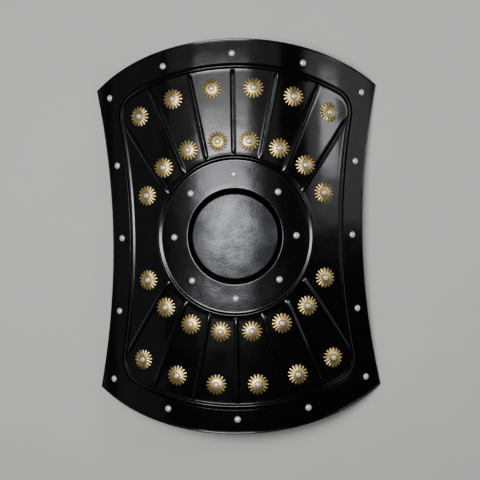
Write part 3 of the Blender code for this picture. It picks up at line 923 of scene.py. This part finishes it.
def stitching(middle):
    """Two rows of stitches along a strap, each seen on both of its faces."""
    path = strap_path(STITCH_WALK)
    places = []
    walked = 0.0
    due = STITCH_START
    for n in range(1, len(path)):
        walked += Vector((path[n][0] - path[n - 1][0], path[n][1] - path[n - 1][1])).length
        if walked < due:
            continue
        due += STITCH_PITCH
        way, out = way_and_out(path, n)
        tilt = Matrix.Rotation(atan2(way.y, way.x) + (pi if way.x < 0 else 0), 4, "X")
        for edge in (-1, 1):
            across = middle + edge * (STRAP_WIDTH / 2 - STITCH_TO_EDGE)
            for depth in (-STRAP_THICKNESS - STITCH_PROUD, STITCH_PROUD):
                place = (across, path[n][0] + out.x * depth, path[n][1] + out.y * depth)
                places.append(Matrix.Translation(place) @ tilt)
    single = bmesh.new()
    bmesh.ops.create_icosphere(single, subdivisions=1, radius=1.0)
    bmesh.ops.scale(single, vec=STITCH_SIZE, verts=single.verts[:])
    bm = bmesh.new()
    set_at(bm, single, places)
    return bm


def leather():
    """Waxed saddle leather: fine grain, darker where it is handled, paler at the cut edges."""
    finish = Finish("saddle_leather", IOR=1.5)
    sockets = {"Vector": finish.place, "Scale": 900.0}
    grain = finish.node("ShaderNodeTexVoronoi", {"feature": "DISTANCE_TO_EDGE"}, sockets)
    soil = finish.noise(30.0, 5.0)
    creases = finish.noise(150.0, 4.0)
    colour = finish.mix(DARK_LEATHER, BROWN_LEATHER, soil)
    colour = finish.mix(colour, CUT_LEATHER, finish.attribute("edge") * 0.7)
    level = finish.bump(grain, 0.00010)
    level = finish.bump(creases, 0.0004, normal=level)
    return finish.give(Base_Color=colour, Roughness=soil * 0.25 + 0.42, Normal=level)


def thread():
    """Waxed linen thread, paler and darker with its twist."""
    finish = Finish("waxed_thread")
    twist = finish.noise(1500.0, 2.0)
    return finish.give(Base_Color=finish.mix(DARK_THREAD, PALE_THREAD, twist), Roughness=twist * 0.2 + 0.6)


saddle_leather = leather()
waxed_thread = thread()
for name, side in (("arm_strap", -1), ("hand_grip", 1)):
    middle = side * BOSS_RIVET_RADIUS * sin(pi / 4)
    bm = strap(middle)
    bend(bm)
    finished(name + "_leather", bm, saddle_leather, [name])
    bm = stitching(middle)
    bend(bm)
    finished(name + "_stitches", bm, waxed_thread)


# A plain pale floor under the shield: a wide sheet of grey paper, a little uneven in its tone. It isn't
# part of the object.
FLOOR_SIZE = 6.0
FLOOR_DARK = (0.60, 0.60, 0.59, 1.0)
FLOOR_PALE = (0.64, 0.64, 0.63, 1.0)
bm = bmesh.new()
bmesh.ops.create_grid(bm, x_segments=1, y_segments=1, size=FLOOR_SIZE / 2)
mesh = bpy.data.meshes.new("floor")
bm.to_mesh(mesh)
bm.free()
paper = Finish("floor_paper", Roughness=0.9)
mesh.materials.append(paper.give(Base_Color=paper.mix(FLOOR_DARK, FLOOR_PALE, paper.noise(8.0, 6.0))))
floor = bpy.data.objects.new("floor", mesh)
bpy.context.scene.collection.objects.link(floor)


# Soft studio light. A softbox high over the shield, left of its middle, draws the bright band down the
# sheet, and two weaker ones beside it soften the band's edges. Weak ones at both sides grey the flanks. The
# room is nearly dark, so that the lacquer stays black.
ROOM = (0.06, 0.06, 0.062, 1.0)
LIGHTS_AIM = Vector((0.0, 0.0, 0.05))


def softbox(name, place, width, height, energy):
    """An area light aimed at the shield, its width across the shield and its height along it."""
    lamp = bpy.data.lights.new(name, "AREA")
    lamp.shape = "RECTANGLE"
    lamp.size = width
    lamp.size_y = height
    lamp.energy = energy
    holder = bpy.data.objects.new(name, lamp)
    bpy.context.scene.collection.objects.link(holder)
    away = (Vector(place) - LIGHTS_AIM).normalized()
    across = Vector((0, 1, 0)).cross(away).normalized()
    turn = Matrix((across, away.cross(across), away)).transposed()
    holder.matrix_world = Matrix.Translation(place) @ turn.to_4x4()


softbox("over_middle", (-0.33, 0.175, 2.1), 1.05, 0.50, 26.0)
softbox("over_middle_skirt", (-0.33, 0.22, 2.12), 1.25, 0.94, 11.0)
softbox("around", (-0.33, 0.35, 2.15), 2.8, 1.4, 4.0)
softbox("left_side", (-2.0, 0.2, 1.0), 1.4, 2.0, 1.3)
softbox("right_side", (1.8, 0.43, 1.25), 0.42, 0.34, 3.0)
softbox("right_side_skirt", (1.8, 0.40, 0.95), 1.6, 0.75, 3.6)
world = bpy.data.worlds.new("dark_room")
world.use_nodes = True
world.node_tree.nodes["Background"].inputs["Color"].default_value = ROOM
bpy.context.scene.world = world


# The camera looks down on the lying shield, as the photograph faces it. In the picture, 480 pixels wide,
# the shield is 396 pixels high. The camera is 1000 such pixels, 1.9 m, away, and a little off the middle.
PICTURE_PIXELS = 480
SHIELD_PIXELS = 396
DISTANCE_PIXELS = 1000
ASIDE_PIXELS = (5.207, -3.635)
YAW, PITCH, ROLL = radians(-2.935), radians(0.048), radians(0.914)
SENSOR = 36.0
pixel = HEIGHT / SHIELD_PIXELS
turn = Matrix.Rotation(ROLL, 3, "Z") @ Matrix.Rotation(PITCH, 3, "X") @ Matrix.Rotation(YAW, 3, "Y")
facing = turn.transposed()
lens = bpy.data.cameras.new("camera")
lens.sensor_width = SENSOR
lens.lens = SENSOR * DISTANCE_PIXELS / PICTURE_PIXELS
lens.clip_end = 20
camera = bpy.data.objects.new("camera", lens)
bpy.context.scene.collection.objects.link(camera)
aim = Vector((0, 0, BEND_RADIUS + LIFT))
place = aim + facing @ Vector((*ASIDE_PIXELS, DISTANCE_PIXELS)) * pixel
camera.matrix_world = Matrix.Translation(place) @ facing.to_4x4()
bpy.context.scene.camera = camera
